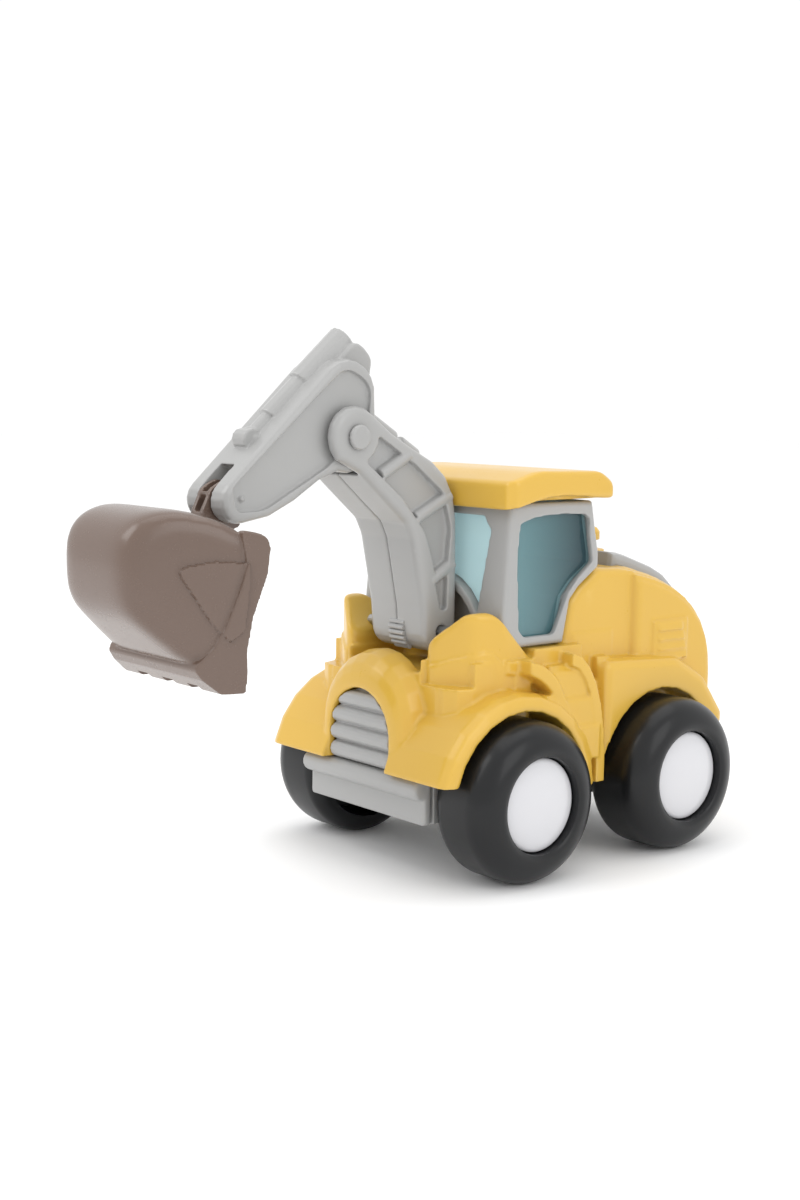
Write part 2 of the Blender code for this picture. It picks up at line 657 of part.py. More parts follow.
def bucket():
    """Flared scoop with a toothed lip and a twin-web lug on its back."""
    half = BUCKET_MOUTH_HALF_WIDTH
    scoop = taper(prism("bucket", BUCKET_SIDE, -half, half, round_low=4.0, round_high=4.0), 0)
    inner = fillet([
        (-80.0, 84.6, 0), (-96.0, 84.6, 2.0), (-101.5, 87.2, 6.0), (-111.6, 89.0, 6.0),
        (-120.3, 84.4, 5.5), (-120.5, 73.6, 5.5), (-105.2, 59.2, 1.5), (-104.2, 54.0, 1.5),
        (-80.0, 54.0, 0),
    ])
    room = taper(prism("cutter", inner, -half, half, round_low=3.0, round_high=3.0),
                 BUCKET_WALL)
    cut(scoop, room)
    for x in (-10.5, 0.0, 10.5):
        cut(scoop, block("cutter", (x - 1.9, x + 1.9), (-104.0, -90.0), (49.0, 53.6)))
    lug = fillet([
        (-99.0, 87.4, 0), (-98.0, 90.6, 1.0), (-95.6, 95.8, 3.0), (-91.2, 98.2, 3.5),
        (-86.8, 95.0, 3.0), (-87.6, 87.0, 1.0), (-94.0, 84.9, 0),
    ])
    fuse(scoop, prism("lug", lug, -2.4, 2.4))
    channel = [(-103.0, 91.5), (-96.0, 101.0), (-88.0, 101.0), (-92.6, 95.9), (-95.2, 92.0),
               (-95.8, 89.9), (-103.0, 89.9)]
    cut(scoop, prism("cutter", channel, -1.2, 1.2))
    return cut(scoop, rod("cutter", BUCKET_PIVOT, PIN_RADIUS + 0.1, -6.0, 6.0))


# ---- wheels ----
def tyre(name, side, y):
    """Fat smooth tyre, open on its inner side, with a seat for the hub cap."""
    wide = TYRE_OUTER_X - TYRE_INNER_X
    profile = [(0.0, 6.5), (0.0, 8.5), (9.0, 8.5), (9.0, 14.5), (0.0, 15.5)]
    profile += [(a, r) for a, r in arc((3.5, 16.5), 3.5, 180, 90, 3)]
    profile += [(a, r) for a, r in arc((wide - 6.8, 13.2), 6.8, 90, 0, 5)]
    profile += [(wide, 12.9), (wide - 1.0, 11.8), (14.2, 11.8), (14.2, 3.3), (1.0, 3.3)]
    points = [(side * (TYRE_INNER_X + a), r) for a, r in profile]
    return turned(name, points, (y, WHEEL_RADIUS), 32)


def hub_cap(name, side, y):
    """Domed cap whose stem carries the tyre and grips the axle's end."""
    face = 40.3
    profile = [(24.5, 1.55), (24.5, 3.0), (38.2, 3.0), (38.2, 11.3), (39.6, HUB_CAP_RADIUS),
               (face, 11.1), (face + 0.6, 9.0), (face + 1.0, 5.0), (face + 1.1, 0.0)]
    outer = turned(name, [(side * 24.5, 0.0), *[(side * a, r) for a, r in profile[1:]]],
                   (y, WHEEL_RADIUS), 32)
    bore = rod("cutter", (y, WHEEL_RADIUS), AXLE_RADIUS + 0.05, *between(side, 20.0, 37.4))
    return cut(outer, bore)


# ---- build ----
for existing in list(bpy.data.objects):
    bpy.data.objects.remove(existing)

ORIGINS = {}
YELLOW = material("yellow_plastic", (0.80, 0.52, 0.11), 0.38)
GREY = material("light_grey_plastic", (0.46, 0.46, 0.45), 0.40)
BROWN = material("brown_plastic", (0.21, 0.155, 0.13), 0.34)
BLACK = material("black_tyre", (0.045, 0.048, 0.052), 0.48)
WHITE = material("white_hub", (0.80, 0.80, 0.82), 0.22)
TEAL = material("clear_teal", (0.25, 0.62, 0.66), 0.10, alpha=0.45)
STEEL = material("steel", (0.56, 0.57, 0.58), 0.30, metallic=1.0)

truck = pivot("truck", (0, 0), None)
truck.location.y = FRAME_SHIFT_Y * MM
boom_axis = pivot("boom_axis", BOOM_PIVOT, truck)
stick_axis = pivot("stick_axis", STICK_PIVOT, boom_axis)
bucket_axis = pivot("bucket_axis", BUCKET_PIVOT, stick_axis)

place(body_shell(), truck, YELLOW)
place(chassis_base(), truck, GREY)
place(front_bumper(), truck, GREY)
place(grille_insert(), truck, GREY)
place(cab_frame(), truck, GREY)
place(window_insert(), truck, TEAL)
place(roof(), truck, YELLOW)
place(engine_cover(), truck, GREY)
place(exhaust_stub(), truck, YELLOW)
for number, (screw_x, screw_y) in enumerate(SCREW_PLACES, 1):
    place(chassis_screw(f"chassis_screw_{number}", screw_x, screw_y), truck, STEEL)

place(boom_half("boom_left_half", 1), boom_axis, GREY)
place(boom_half("boom_right_half", -1), boom_axis, GREY)
place(pin("boom_base_pin", BOOM_PIVOT, 16.6, 0), boom_axis, STEEL)
place(pin("stick_pin", STICK_PIVOT, 0, 3.0), stick_axis, GREY)
place(stick_housing(), stick_axis, GREY)
place(bucket(), bucket_axis, BROWN)
place(pin("bucket_pin", BUCKET_PIVOT, 6.0, 0), bucket_axis, STEEL)

for end, axle_y in (("front", -HALF_WHEELBASE), ("rear", HALF_WHEELBASE)):
    axis = pivot(f"{end}_axle_axis", (axle_y, WHEEL_RADIUS), truck)
    axle = rod(f"{end}_axle", (axle_y, WHEEL_RADIUS), AXLE_RADIUS, -AXLE_HALF_LENGTH,
               AXLE_HALF_LENGTH, 24)
    place(axle, axis, STEEL)
    for hand, sign in (("left", 1), ("right", -1)):
        place(tyre(f"{end}_{hand}_tyre", sign, axle_y), axis, BLACK)
        place(hub_cap(f"{end}_{hand}_hub_cap", sign, axle_y), axis, WHITE)
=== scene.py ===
import math

import bpy
from mathutils import Matrix, Vector


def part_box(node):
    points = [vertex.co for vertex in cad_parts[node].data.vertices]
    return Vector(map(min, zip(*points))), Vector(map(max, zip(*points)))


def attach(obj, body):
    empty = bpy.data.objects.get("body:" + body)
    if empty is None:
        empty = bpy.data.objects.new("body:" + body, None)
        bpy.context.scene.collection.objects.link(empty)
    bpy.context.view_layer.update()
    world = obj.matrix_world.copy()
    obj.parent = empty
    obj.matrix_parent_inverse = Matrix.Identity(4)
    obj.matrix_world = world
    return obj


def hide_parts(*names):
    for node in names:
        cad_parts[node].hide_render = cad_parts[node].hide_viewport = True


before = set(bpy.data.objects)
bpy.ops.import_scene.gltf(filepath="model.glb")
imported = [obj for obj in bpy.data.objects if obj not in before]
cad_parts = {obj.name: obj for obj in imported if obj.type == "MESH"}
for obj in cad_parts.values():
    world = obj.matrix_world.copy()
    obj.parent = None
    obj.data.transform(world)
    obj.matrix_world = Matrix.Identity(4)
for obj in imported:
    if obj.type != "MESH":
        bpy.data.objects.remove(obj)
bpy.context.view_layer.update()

# ---------------------------------------------------------------------------
# The yellow body shell. The real one is a single injection moulding in satin
# ABS, open underneath, with every edge rounded by the mould, snapped over the
# chassis tray. Heights are above the ground and fore-and-aft places are from
# the middle of the wheelbase, both in millimetres.
# ---------------------------------------------------------------------------
MM = 0.001
front_axle_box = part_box("front_axle")
rear_axle_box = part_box("rear_axle")
WHEELBASE_MIDDLE = (front_axle_box[0][1] + front_axle_box[1][1]
                    + rear_axle_box[0][1] + rear_axle_box[1][1]) / 4


def at(x, y, z):
    """A place on the truck, in metres."""
    return Vector((x * MM, WHEELBASE_MIDDLE + y * MM, z * MM))


def only(piece):
    """Makes one object the selected and active one."""
    bpy.ops.object.select_all(action="DESELECT")
    piece.select_set(True)
    bpy.context.view_layer.objects.active = piece
    return piece


def finish_mesh(piece):
    """Merges doubles, turns faces outwards and settles the object's place into its mesh."""
    only(piece)
    bpy.ops.object.transform_apply(location=True, rotation=True, scale=True)
    bpy.ops.object.mode_set(mode="EDIT")
    bpy.ops.mesh.select_all(action="SELECT")
    bpy.ops.mesh.remove_doubles(threshold=1e-6)
    bpy.ops.mesh.normals_make_consistent(inside=False)
    bpy.ops.object.mode_set(mode="OBJECT")
    return piece


def sheet_of(outline, low, high, across="X", rounding=0.0, segments=3):
    """A flat outline drawn as a filled ring, then extruded across the truck from low to high."""
    bpy.ops.object.select_all(action="DESELECT")
    bpy.ops.mesh.primitive_circle_add(vertices=len(outline), radius=1.0, fill_type="NGON")
    piece = bpy.context.object
    for vert, (u, v) in zip(piece.data.vertices, outline):
        vert.co = {"X": at(low, u, v), "Y": at(u, low, v), "Z": at(u, v, low)}[across]
    step = Vector([(high - low) * MM if axis == across else 0 for axis in "XYZ"])
    bpy.ops.object.mode_set(mode="EDIT")
    bpy.ops.mesh.select_all(action="SELECT")
    bpy.ops.mesh.extrude_region_move(TRANSFORM_OT_translate={"value": step})
    bpy.ops.mesh.select_all(action="SELECT")
    bpy.ops.mesh.normals_make_consistent(inside=False)
    if rounding > 0:
        bpy.ops.mesh.bevel(offset=rounding * MM, segments=segments, affect="EDGES",
                           clamp_overlap=True)
    bpy.ops.object.mode_set(mode="OBJECT")
    return piece


def bar(x, y, z, rounding=0.3):
    """A rectangular rib between low and high values, its edges rounded."""
    bpy.ops.object.select_all(action="DESELECT")
    bpy.ops.mesh.primitive_cube_add(size=1)
    piece = bpy.context.object
    low, high = at(x[0], y[0], z[0]), at(x[1], y[1], z[1])
    piece.location = (low + high) / 2
    piece.scale = high - low
    bpy.ops.object.transform_apply(location=True, rotation=True, scale=True)
    bpy.ops.object.mode_set(mode="EDIT")
    bpy.ops.mesh.select_all(action="SELECT")
    bpy.ops.mesh.bevel(offset=rounding * MM, segments=2, affect="EDGES", clamp_overlap=True)
    bpy.ops.object.mode_set(mode="OBJECT")
    return piece


def rounded(corners, steps=6):
    """An outline through (u, v, radius) corners, each rounded to its radius."""
    outline = []
    for i, (u, v, radius) in enumerate(corners):
        here = Vector((u, v))
        before = (Vector(corners[i - 1][:2]) - here).normalized()
        after = (Vector(corners[(i + 1) % len(corners)][:2]) - here).normalized()
        reach = radius / math.tan(before.angle(after) / 2)
        for k in range(steps + 1 if radius else 1):
            t = k / steps
            a, b = here + before * reach * (1 - t), here + after * reach * t
            outline.append(tuple(a * (1 - t) + b * t) if radius else (u, v))
    return outline


def copy_of(node, name):
    """A merged copy of a CAD node's mesh, to be worked into the finished moulding."""
    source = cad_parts[node]
    piece = bpy.data.objects.new(name, source.data.copy())
    bpy.context.scene.collection.objects.link(piece)
    piece.data.materials.clear()
    return finish_mesh(piece)


def carve(piece, *tools):
    for tool in tools:
        only(piece)
        cutting = piece.modifiers.new("Carve", "BOOLEAN")
        cutting.operation = "DIFFERENCE"
        cutting.solver = "EXACT"
        cutting.object = tool
        bpy.ops.object.modifier_apply(modifier=cutting.name)
        bpy.data.objects.remove(tool)
    return piece


def mould(piece, additions=(), grain=0.45, softness=6, keep=1.0):
    """Melts a piece and its additions into one skin, with the small radii of a mould."""
    only(piece)
    for addition in additions:
        addition.select_set(True)
    if additions:
        bpy.ops.object.join()
    melting = piece.modifiers.new("Melt", "REMESH")
    melting.mode = "VOXEL"
    melting.voxel_size = grain * MM
    bpy.ops.object.modifier_apply(modifier=melting.name)
    easing = piece.modifiers.new("Ease", "SMOOTH")
    easing.factor = 0.5
    easing.iterations = softness
    bpy.ops.object.modifier_apply(modifier=easing.name)
    if keep < 1.0:
        thinning = piece.modifiers.new("Thin", "DECIMATE")
        thinning.ratio = keep
        bpy.ops.object.modifier_apply(modifier=thinning.name)
    bpy.ops.object.shade_smooth()
    return piece


class Wire:
    """A value in a shader, so that material maths reads as plain expressions."""

    def __init__(self, nodes, socket):
        self.nodes = nodes
        self.socket = socket

    def maths(self, operation, other, swap=False):
        pair = [other, self] if swap else [self, other]
        return self.nodes.add("ShaderNodeMath", {"operation": operation}, pair)

    def __add__(self, other):
        return self.maths("ADD", other)

    __radd__ = __add__

    def __mul__(self, other):
        return self.maths("MULTIPLY", other)

    __rmul__ = __mul__

    def __sub__(self, other):
        return self.maths("SUBTRACT", other)

    def __rsub__(self, other):
        return self.maths("SUBTRACT", other, swap=True)


class Finish:
    """One material: its nodes are added one at a time, each with settings and inputs."""

    def __init__(self, name):
        self.material = bpy.data.materials.new(name)
        self.material.use_nodes = True
        self.tree = self.material.node_tree
        self.shader = self.tree.nodes["Principled BSDF"]

    def add(self, kind, settings=None, inputs=(), output=0):
        node = self.tree.nodes.new(kind)
        for key, value in (settings or {}).items():
            if key == "stops":
                ramp = node.color_ramp
                while len(ramp.elements) < len(value):
                    ramp.elements.new(0.5)
                for element, (position, shade) in zip(ramp.elements, value):
                    element.position = position
                    element.color = (shade, shade, shade, 1.0)
            else:
                setattr(node, key, value)
        pairs = inputs.items() if isinstance(inputs, dict) else enumerate(inputs)
        for key, value in pairs:
            if isinstance(value, Wire):
                self.tree.links.new(value.socket, node.inputs[key])
            elif value is not None:
                node.inputs[key].default_value = value
        return Wire(self, node.outputs[output])

    def set(self, **values):
        for key, value in values.items():
            socket = self.shader.inputs[key.replace("_", " ")]
            if isinstance(value, Wire):
                self.tree.links.new(value.socket, socket)
            else:
                socket.default_value = value


def colour(red, green, blue):
    """Linear shader colour from the everyday 0 to 255 screen scale."""
    return (*[((c / 255 + 0.055) / 1.055) ** 2.4 if c > 10 else c / 3294 for c in (red, green, blue)], 1.0)


def moulded_plastic(name, body, shade, glow, roughness, grain=0.05, scuff=0.5, specular=0.5):
    """Injection-moulded ABS: an even colour with faint flow clouds, a satin mould
    texture, edges rubbed a little lighter and shinier, and painted shade darkening the hollow crease lines."""
    finish = Finish(name)
    place = finish.add("ShaderNodeTexCoord", output=3)
    clouds = finish.add("ShaderNodeTexNoise", {}, {"Vector": place, "Scale": 38.0, "Detail": 3.0,
                                                   "Roughness": 0.5})
    flow = finish.add("ShaderNodeTexNoise", {}, {"Vector": place, "Scale": 9.0, "Detail": 2.0,
                                                 "Distortion": 0.8})
    specks = finish.add("ShaderNodeTexNoise", {}, {"Vector": place, "Scale": 1500.0,
                                                   "Detail": 2.0})
    scuffs = finish.add("ShaderNodeTexNoise", {}, {"Vector": place, "Scale": 220.0,
                                                   "Detail": 5.0, "Roughness": 0.65})
    bent = finish.add("ShaderNodeNewGeometry", output=7)
    edges = finish.add("ShaderNodeValToRGB", {"stops": [(0.50, 0.0), (0.60, 1.0)]}, [bent])
    # Painted shade: concave crease lines are darkened where shade falls in them.
    crease_shade = finish.add("ShaderNodeValToRGB", {"stops": [(0.40, 1.0), (0.49, 0.0)]}, [bent])
    rubbed = edges * scuffs * scuff
    tone = finish.add("ShaderNodeMix", {"data_type": "RGBA"},
                      {0: clouds * 0.6 + flow * 0.4, 6: body, 7: shade}, output=2)
    worn = finish.add("ShaderNodeMix", {"data_type": "RGBA"}, {0: rubbed, 6: tone, 7: glow},
                      output=2)
    # The painted shade colour for the crease lines: the second tone darkened.
    painted_crease_shade = tuple(c * 0.62 for c in shade[:3]) + (1.0,)
    final = finish.add("ShaderNodeMix", {"data_type": "RGBA"},
                       {0: crease_shade * 0.35, 6: worn, 7: painted_crease_shade}, output=2)
    gloss = roughness + (scuffs - 0.5) * 0.10 + (specks - 0.5) * 0.06 - rubbed * 0.08
    height = specks * 0.35 + scuffs * 0.25 + clouds * 0.4
    bump = finish.add("ShaderNodeBump", {}, {"Strength": grain, "Distance": 0.0004,
                                             "Height": height})
    finish.set(Base_Color=final, Roughness=gloss, Normal=bump)
    finish.set(Coat_Weight=0.12, Coat_Roughness=0.12, IOR=1.5, Specular_IOR_Level=specular)
    return finish.material


YELLOW = moulded_plastic("satin_yellow", colour(214, 173, 70), colour(208, 166, 62),
                         colour(228, 196, 112), 0.30, grain=0.02, scuff=0.3)


def dress(piece, material, body, slot, *nodes):
    """Gives a finished piece its material and its body, and hides the CAD nodes it stands for."""
    piece.data.materials.clear()
    piece.data.materials.append(material)
    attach(piece, body)
    if nodes:
        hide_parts(*nodes)
    return piece


def flank(side, near, far):
    """Low and high places across the truck on one of its sides."""
    return tuple(sorted((side * near, side * far)))


# The cheek beside the arm's foot: corners with their radii, from the side, the front and above.
CHEEK_SIDE = [(-44.0, 33.1, 0), (-44.0, 65.1, 5.0), (-30.0, 65.7, 6.0), (-17.6, 53.0, 2.0),
              (-17.6, 33.3, 0)]
CHEEK_FRONT = [(13.87, 34.0, 0), (13.87, 56.8, 3.0), (23.2, 65.4, 3.2), (27.62, 65.4, 3.0),
               (27.62, 34.0, 0)]
CHEEK_PLAN = [(13.9, -43.0, 2.6), (25.8, -35.4, 6.0), (27.6, -27.0, 4.0), (27.6, -16.9, 0),
              (13.9, -16.9, 0)]
CHEEK_RAISED_BY = 0.45
RAISED_TO = [(-60.0, 51.2), (-42.0, 51.8), (-39.0, 53.8), (-36.3, 55.0), (-33.0, 55.7),
             (-30.6, 55.3), (-28.6, 53.3), (-25.2, 49.2), (-21.0, 45.4), (-19.2, 44.2),
             (-19.2, 20.0), (-10.0, 20.0), (-10.0, 80.0), (-60.0, 80.0)]
CHEEK_CUTS = [((12.9, 30.0), (-47.0, -17.9), (53.4, 72.0)), ((14.4, 30.0), (-47.0, -36.5), (47.5, 60.0))]
# The rear quarter's crown from the side, lower towards the flank than at the middle.
REAR_CURVE = [(3.0, 77.0), (7.4, 74.4), (15.0, 73.4), (22.1, 72.0), (27.3, 70.7), (32.0, 69.1),
              (36.2, 67.2), (39.6, 65.2), (43.2, 62.2), (46.2, 58.7), (48.2, 55.0), (49.5, 51.0),
              (50.2, 47.0), (50.6, 42.0)]
CROWN_DROPS = [(27.4, -2.0), (26.0, -0.5), (24.0, 0.3), (21.8, 0.9)]
# Footboards, the ledge that ends behind them, and the treads: top, reach, front and back.
LEDGE_END = [(-0.9, 60.0), (-0.9, 51.6), (0.6, 50.2), (2.4, 48.0), (3.9, 45.2), (4.5, 43.0),
             (4.5, 51.8), (9.6, 51.8), (9.6, 60.0)]
OLD_BOARD = [(-28.0, 46.8), (-20.0, 46.0), (-16.6, 44.9), (-12.9, 42.9), (-13.2, 45.4),
             (-15.6, 49.0), (-18.8, 52.0), (-23.0, 54.6), (-28.0, 54.6)]
FOOTBOARD = [(-23.2, 53.5), (-19.4, 52.5), (-16.3, 50.7), (-14.0, 48.5), (-12.5, 46.2), (-11.1, 43.5),
             (-9.7, 40.6), (-8.6, 37.6), (-7.8, 32.0), (-10.6, 32.0), (-11.6, 37.4), (-12.9, 40.4),
             (-14.2, 43.0), (-15.6, 45.0), (-17.6, 47.0), (-20.0, 48.7), (-23.2, 50.2)]
POCKET = [(-18.8, 50.0), (-18.8, 45.4), (-16.5, 44.6), (-14.4, 43.6), (-15.6, 45.0), (-17.2, 46.8)]
STAIR_TREADS = [(50.4, 32.3, -15.0, -3.2), (43.2, 33.0, -12.0, 0.0), (36.0, 33.7, -9.5, 1.0)]
TREAD_DEPTH = 9.0
LOUVRE_LOW, LOUVRE_PITCH = 48.9, 2.6


def cheek_block(side, grow):
    """What the cheek's side, front and plan outlines have in common, softened like a pillow."""
    wider = [(x + grow, z + grow, radius) for x, z, radius in CHEEK_FRONT]
    block = sheet_of(rounded(CHEEK_SIDE), *flank(side, 13.0 - grow, 29.0))
    front = sheet_of([(side * x, z) for x, z in rounded(wider)], -50.0, -10.0, across="Y")
    plan = sheet_of([(side * (x + grow), y - grow) for x, y in rounded(CHEEK_PLAN)], 30.0, 70.0,
                    across="Z")
    for outline in (front, plan):
        common = block.modifiers.new("Common", "BOOLEAN")
        common.operation = "INTERSECT"
        common.solver = "EXACT"
        common.object = outline
        only(block)
        bpy.ops.object.modifier_apply(modifier=common.name)
        bpy.data.objects.remove(outline)
    return mould(block, [], grain=0.5, softness=26)


shell = copy_of("body_shell", "truck_shell")
additions = []
for side in (-1, 1):
    # The cheek and the top of its hollow are cut off, and a pillow-soft block takes their place.
    for across, along, height in CHEEK_CUTS:
        carve(shell, bar(flank(side, *across), along, height, 0.05))
    additions.append(cheek_block(side, 0.0))
    additions.append(carve(cheek_block(side, CHEEK_RAISED_BY), sheet_of(RAISED_TO, -40.0, 40.0)))
    # A wall behind the ledge's end keeps the shell closed there.
    additions.append(bar(flank(side, 22.0, 26.25), (-2.2, 12.5), (43.0, 58.0), 0.1))
    for near, lift in CROWN_DROPS:
        outside = [(y, z + lift) for y, z in REAR_CURVE] + [(64.0, 42.0), (64.0, 90.0), (3.0, 90.0)]
        carve(shell, sheet_of(outside, *flank(side, near, 34.0)))
    # Behind the rear footboard the ledge under the cab stops and the flank runs through.
    carve(shell, sheet_of(LEDGE_END, *flank(side, 26.3, 40.0)))
    carve(shell, sheet_of(OLD_BOARD, *flank(side, 28.75, 40.0)))
    carve(shell, sheet_of(POCKET, *flank(side, 27.3, 40.0)))
    additions.append(sheet_of(FOOTBOARD, *flank(side, 25.0, 33.2), rounding=0.35))
    for top, reach, front, back in STAIR_TREADS:
        stair = [(26.0, top + 0.9), (reach - 1.6, top + 1.0), (reach, top - 0.8), (reach, top - TREAD_DEPTH),
                 (26.0, top - TREAD_DEPTH)]
        additions.append(sheet_of([(side * x, z) for x, z in stair], front, back, across="Y"))
    # Louvre on the engine flank: a raised plate with four overlapping slats.
    additions.append(bar(flank(side, 24.0, 28.75), (26.0, 39.6), (48.8, 59.3), 0.3))
    for slat in range(4):
        low = LOUVRE_LOW + LOUVRE_PITCH * slat
        blade = [(26.0, low), (29.5, low), (28.9, low + 2.25), (26.0, low + 2.25)]
        additions.append(sheet_of([(side * x, z) for x, z in blade], 27.6, 39.0 - 0.7 * slat,
                                  across="Y"))
mould(shell, additions, grain=0.42, softness=5, keep=0.4)
dress(shell, YELLOW, "truck", "yellow_plastic", "body_shell")

# ---------------------------------------------------------------------------
# Roof: a thick yellow cap with soft edges and a drooping visor, pressed over
# the top of the cab.
# ---------------------------------------------------------------------------
roof = copy_of("roof", "truck_roof")
EAVES = [(-28.8, 88.0), (-28.8, 90.1), (-25.0, 90.8), (-20.3, 92.0), (-15.5, 92.9), (-10.0, 93.3),
         (-4.0, 93.1), (2.0, 92.6), (9.0, 92.0), (9.0, 88.0)]
for side in (-1, 1):
    carve(roof, sheet_of(EAVES, *flank(side, 27.3, 33.0)))
mould(roof, [], grain=0.4, softness=12, keep=0.4)
dress(roof, YELLOW, "truck", "yellow_plastic", "roof")

# ---------------------------------------------------------------------------
# Chassis tray, front bumper and grille: three light grey mouldings, satin ABS.
# The grille's round bars show through the arch in the bonnet.
# ---------------------------------------------------------------------------
GREY = moulded_plastic("satin_light_grey", colour(164, 164, 163), colour(157, 157, 156),
                       colour(188, 188, 187), 0.31, scuff=0.3)
for node, grain, softness, keep in (("chassis_base", 0.5, 4, 0.3), ("front_bumper", 0.35, 5, 0.4),
                                    ("grille_insert", 0.25, 4, 0.4)):
    piece = copy_of(node, "truck_" + node)
    mould(piece, [], grain, softness, keep)
    dress(piece, GREY, "truck", "light_grey_plastic", node)

# ---------------------------------------------------------------------------
# Cab: one grey moulding of posts and sills with an arched niche behind the
# boom, and a single clear teal moulding behind its openings.
# ---------------------------------------------------------------------------
PANE = [(-22.0, 86.6), (-17.4, 87.9), (-11.9, 88.5), (-6.2, 88.6), (0.8, 88.2), (2.2, 87.0),
        (2.9, 76.3), (-1.3, 72.4), (-5.5, 68.1), (-8.1, 62.6), (-9.8, 59.4), (-11.2, 58.7),
        (-19.9, 58.6), (-21.8, 60.4), (-22.5, 70.5), (-22.6, 80.4)]
cab = copy_of("cab_frame", "truck_cab")
for side in (-1, 1):
    carve(cab, sheet_of(PANE, *flank(side, 24.0, 33.0)))
mould(cab, [], grain=0.36, softness=4, keep=0.35)
dress(cab, GREY, "truck", "light_grey_plastic", "cab_frame")

teal = Finish("clear_teal_styrene")
teal_place = teal.add("ShaderNodeTexCoord", output=3)
teal_drift = teal.add("ShaderNodeTexNoise", {}, {"Vector": teal_place, "Scale": 24.0, "Detail": 2.0})
teal_specks = teal.add("ShaderNodeTexNoise", {}, {"Vector": teal_place, "Scale": 700.0,
                                                  "Detail": 3.0})
# Painted light and shade on the glass: panes facing the sides get a dark teal, painted shade for the shaded
# cab inside them, and they get darker still towards the rear wall in shadow. Panes facing forwards get a
# pale teal, painted light.
teal_faces = teal.add("ShaderNodeNewGeometry", output=1)
teal_across = teal.add("ShaderNodeSeparateXYZ", {}, [teal_faces])
teal_side = teal.add("ShaderNodeMath", {"operation": "ABSOLUTE"}, [teal_across])
teal_painted_light = teal.add("ShaderNodeMix", {"data_type": "RGBA"},
                     {0: teal_drift, 6: colour(206, 236, 240), 7: colour(196, 230, 236)}, output=2)
teal_along = teal.add("ShaderNodeSeparateXYZ", {}, [teal_place], output=1)
teal_rear_shade_mask = teal.add("ShaderNodeClamp", {}, [(teal_along - 0.014) * 48.0])
teal_painted_shade = teal.add("ShaderNodeMix", {"data_type": "RGBA"},
                     {0: teal_rear_shade_mask, 6: colour(100, 140, 146), 7: colour(36, 66, 74)}, output=2)
teal_painted_light_and_shade = teal.add("ShaderNodeMix", {"data_type": "RGBA"},
                     {0: teal_side, 6: teal_painted_light, 7: teal_painted_shade}, output=2)
teal_bump = teal.add("ShaderNodeBump", {}, {"Strength": 0.05, "Distance": 0.0003,
                                            "Height": teal_drift * 0.7 + teal_specks * 0.3})
teal.set(Base_Color=teal_painted_light_and_shade, Roughness=0.05 + teal_specks * 0.05, Normal=teal_bump)
# Painted glow: the glass shines faintly in its own painted light and shade colour, though it is no lamp.
teal.set(Emission_Color=teal_painted_light_and_shade, Emission_Strength=0.22, Alpha=0.60 - teal_side * 0.02)
teal.set(IOR=1.5, Coat_Weight=0.4, Coat_Roughness=0.03)
windows = copy_of("cab_window_insert", "truck_windows")
dress(windows, teal.material, "truck", "clear_teal", "cab_window_insert")

# ---------------------------------------------------------------------------
# Engine cover and exhaust: a curved grey plate let into the rear bodywork,
# with a short yellow stack standing on it.
# ---------------------------------------------------------------------------
cover = copy_of("engine_cover", "truck_engine_cover")
carve(cover, bar((-30.0, 30.0), (28.6, 29.2), (74.9, 90.0), 0.02))
mould(cover, [], grain=0.26, softness=5, keep=0.4)
dress(cover, GREY, "truck", "light_grey_plastic", "engine_cover")
exhaust = copy_of("exhaust_stub", "truck_exhaust")
mould(exhaust, [], grain=0.2, softness=5, keep=0.5)
dress(exhaust, YELLOW, "truck", "yellow_plastic", "exhaust_stub")

# ---------------------------------------------------------------------------
# Boom: two grey halves that meet on the middle plane. Each side has a rounded
# rim round a sunk panel, crossed by three round ribs, and a boss at the pivot.
# ---------------------------------------------------------------------------
PANEL = rounded([(-33.4, 64.6, 1.0), (-35.0, 70.2, 4.0), (-35.9, 76.1, 6.0), (-38.8, 84.2, 8.0),
                 (-46.0, 92.6, 8.0), (-57.4, 101.5, 0.8), (-55.1, 103.6, 0), (-53.9, 106.0, 0),
                 (-54.0, 107.9, 0.8), (-42.2, 100.8, 6.0), (-32.8, 93.6, 5.0), (-30.3, 85.0, 8.0),
                 (-31.2, 76.0, 0), (-31.4, 64.6, 1.0)])
BOOM_RIBS = [((-52.4, 98.4), (-43.7, 103.2)), ((-41.2, 87.6), (-30.2, 93.0)),
             ((-36.0, 72.0), (-28.9, 76.2))]
BOOM_FOOT = (-33.0, 59.2)


def round_bar(start, end, radius, sides=32, cap=0.4):
    """A round rib or boss between two places, its rims rounded."""
    a, b = at(*start), at(*end)
    bpy.ops.object.select_all(action="DESELECT")
    bpy.ops.mesh.primitive_cone_add(vertices=sides, radius1=radius * MM, radius2=radius * MM,
                                    depth=(b - a).length)
    piece = bpy.context.object
    piece.location = (a + b) / 2
    piece.rotation_euler = (b - a).to_track_quat("Z", "Y").to_euler()
    bpy.ops.object.transform_apply(location=True, rotation=True, scale=True)
    bpy.ops.object.mode_set(mode="EDIT")
    bpy.ops.mesh.select_all(action="DESELECT")
    bpy.ops.object.mode_set(mode="OBJECT")
    for face in piece.data.polygons:
        face.select = len(face.vertices) == sides
    bpy.ops.object.mode_set(mode="EDIT")
    bpy.ops.mesh.bevel(offset=cap * MM, segments=3, affect="EDGES", clamp_overlap=True)
    bpy.ops.object.mode_set(mode="OBJECT")
    return piece


def soften(piece, times, chooses):
    """Rounds off only the part of a fine mesh that the test picks out."""
    only(piece)
    picked = piece.vertex_groups.new(name="Rounded")
    picked.add([v.index for v in piece.data.vertices if chooses(v.co / MM)], 1.0, "REPLACE")
    easing = piece.modifiers.new("Ease", "SMOOTH")
    easing.factor = 0.5
    easing.iterations = times
    easing.vertex_group = picked.name
    bpy.ops.object.modifier_apply(modifier=easing.name)
    return piece


